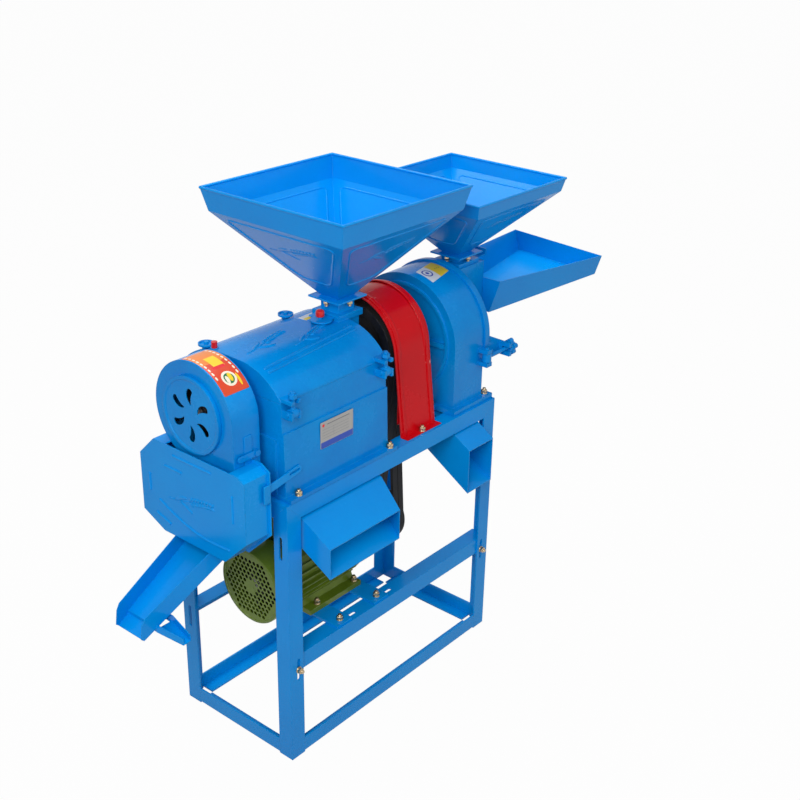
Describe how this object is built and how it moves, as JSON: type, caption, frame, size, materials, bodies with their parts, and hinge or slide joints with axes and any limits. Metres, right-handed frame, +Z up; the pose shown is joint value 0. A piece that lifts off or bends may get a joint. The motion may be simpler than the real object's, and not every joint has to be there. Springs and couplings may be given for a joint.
{
  "type": "rice mill and crusher",
  "caption": "Rice mill and claw-disc crusher side by side on one angle-iron stand with a shared motor, belt drive, hoppers, feed tray and outlet chutes.",
  "frame": {"origin": "on the floor under the middle of the stand's footprint", "axes": "+X along the stand from the rice mill's blower to the crusher's feed tray, +Y to the rear, +Z up"},
  "size_m": [1.4749, 0.4505, 1.21],
  "materials": {
    "black_rubber": "matt",
    "blue_casting": "gloss",
    "blue_paint": "gloss",
    "cover_paint": "gloss",
    "iron": "as cast",
    "olive_paint": "satin",
    "red_cap": "gloss",
    "red_paint": "gloss",
    "steel": "machined",
    "zinc": "yellow zinc plate"
  },
  "bodies": {
    "stand": {"aspirator_box": "blue_paint", "aspirator_cover": "cover_paint", "belt_guard": "red_paint", "blower_casing": "blue_casting", "blower_inlet_cover": "blue_paint", "bottom_rail_front": "blue_paint", "bottom_rail_left": "blue_paint", "bottom_rail_rear": "blue_paint", "bottom_rail_right": "blue_paint", "brace_strap": "blue_paint", "bran_chute": "blue_paint", "crusher_chute": "blue_paint", "crusher_door": "blue_casting", "crusher_drive_belts": "black_rubber", "crusher_hopper": "blue_paint", "crusher_housing": "blue_casting", "crusher_sieve": "steel", "feed_tray": "blue_paint", "filler_cap": "red_cap", "leg_front_left": "blue_paint", "leg_front_right": "blue_paint", "leg_rear_left": "blue_paint", "leg_rear_right": "blue_paint", "mill_bearings": "iron", "mill_body": "blue_casting", "mill_cover": "blue_casting", "mill_drive_belts": "black_rubber", "mill_hopper": "blue_paint", "mill_screen": "steel", "motor_cross_bars": "blue_paint", "motor_end_shields": "olive_paint", "motor_fan_cover": "olive_paint", "motor_housing": "olive_paint", "motor_rail_front": "blue_paint", "motor_rail_rear": "blue_paint", "rice_chute": "blue_paint", "ring_nuts": "zinc", "terminal_box": "olive_paint", "top_rail_front": "blue_paint", "top_rail_left": "blue_paint", "top_rail_rear": "blue_paint", "top_rail_right": "blue_paint", "zinc_bolts": "zinc"},
    "mill_rotor": {"mill_spindle": "steel", "milling_roller": "iron", "mill_pulley": "iron", "blower_impeller": "blue_paint"},
    "motor_rotor": {"motor_shaft": "steel", "motor_fan": "blue_paint", "motor_pulley": "iron"},
    "crusher_rotor_group": {"crusher_spindle": "steel", "crusher_rotor": "iron", "crusher_pulley": "iron"},
    "mill_gate": {"mill_feed_gate": "blue_paint"},
    "crusher_gate": {"crusher_feed_gate": "blue_paint"},
    "swing_bolt_left_group": {"swing_bolt_left": "steel"},
    "swing_bolt_right_group": {"swing_bolt_right": "steel"},
    "door_swing_bolt_group": {"door_swing_bolt": "steel"},
    "star_nut_group": {"star_nut": "zinc"},
    "latch": {"casing_latch": "blue_paint"}
  },
  "joints": [
    {"name": "mill_spin", "type": "hinge", "parent": "stand", "child": "mill_rotor", "pos_m": [-0.024, 0, 0.829], "axis": [1, 0, 0], "continuous": true},
    {"name": "motor_spin", "type": "hinge", "parent": "stand", "child": "motor_rotor", "pos_m": [-0.026, 0, 0.358], "axis": [1, 0, 0], "continuous": true},
    {"name": "crusher_spin", "type": "hinge", "parent": "stand", "child": "crusher_rotor_group", "pos_m": [0.216, 0, 0.806], "axis": [1, 0, 0], "continuous": true},
    {"name": "mill_gate_slide", "type": "slide", "parent": "stand", "child": "mill_gate", "axis": [-1, 0, 0], "range_m": [0, 0.045]},
    {"name": "crusher_gate_slide", "type": "slide", "parent": "stand", "child": "crusher_gate", "axis": [1, 0, 0], "range_m": [0, 0.045]},
    {"name": "swing_bolt_left_hinge", "type": "hinge", "parent": "stand", "child": "swing_bolt_left_group", "pos_m": [-0.323, -0.164, 0.844], "axis": [1, 0, 0], "range_deg": [0, 110]},
    {"name": "swing_bolt_right_hinge", "type": "hinge", "parent": "stand", "child": "swing_bolt_right_group", "pos_m": [-0.045, -0.164, 0.844], "axis": [1, 0, 0], "range_deg": [0, 110]},
    {"name": "door_swing_bolt_hinge", "type": "hinge", "parent": "stand", "child": "door_swing_bolt_group", "pos_m": [0.318, -0.168, 0.764], "axis": [0, 0, -1], "range_deg": [0, 100]},
    {"name": "star_nut_turn", "type": "hinge", "parent": "door_swing_bolt_group", "child": "star_nut_group", "pos_m": [0.4005, -0.168, 0.764], "axis": [1, 0, 0], "continuous": true},
    {"name": "casing_latch_hinge", "type": "hinge", "parent": "stand", "child": "latch", "pos_m": [-0.3795, -0.113, 0.763], "axis": [0, 1, 0], "range_deg": [0, 90]}
  ],
  "couplings": [
    {"joint": "motor_spin", "follows": "mill_spin", "ratio": 2},
    {"joint": "crusher_spin", "follows": "mill_spin", "ratio": 3.1111}
  ]
}
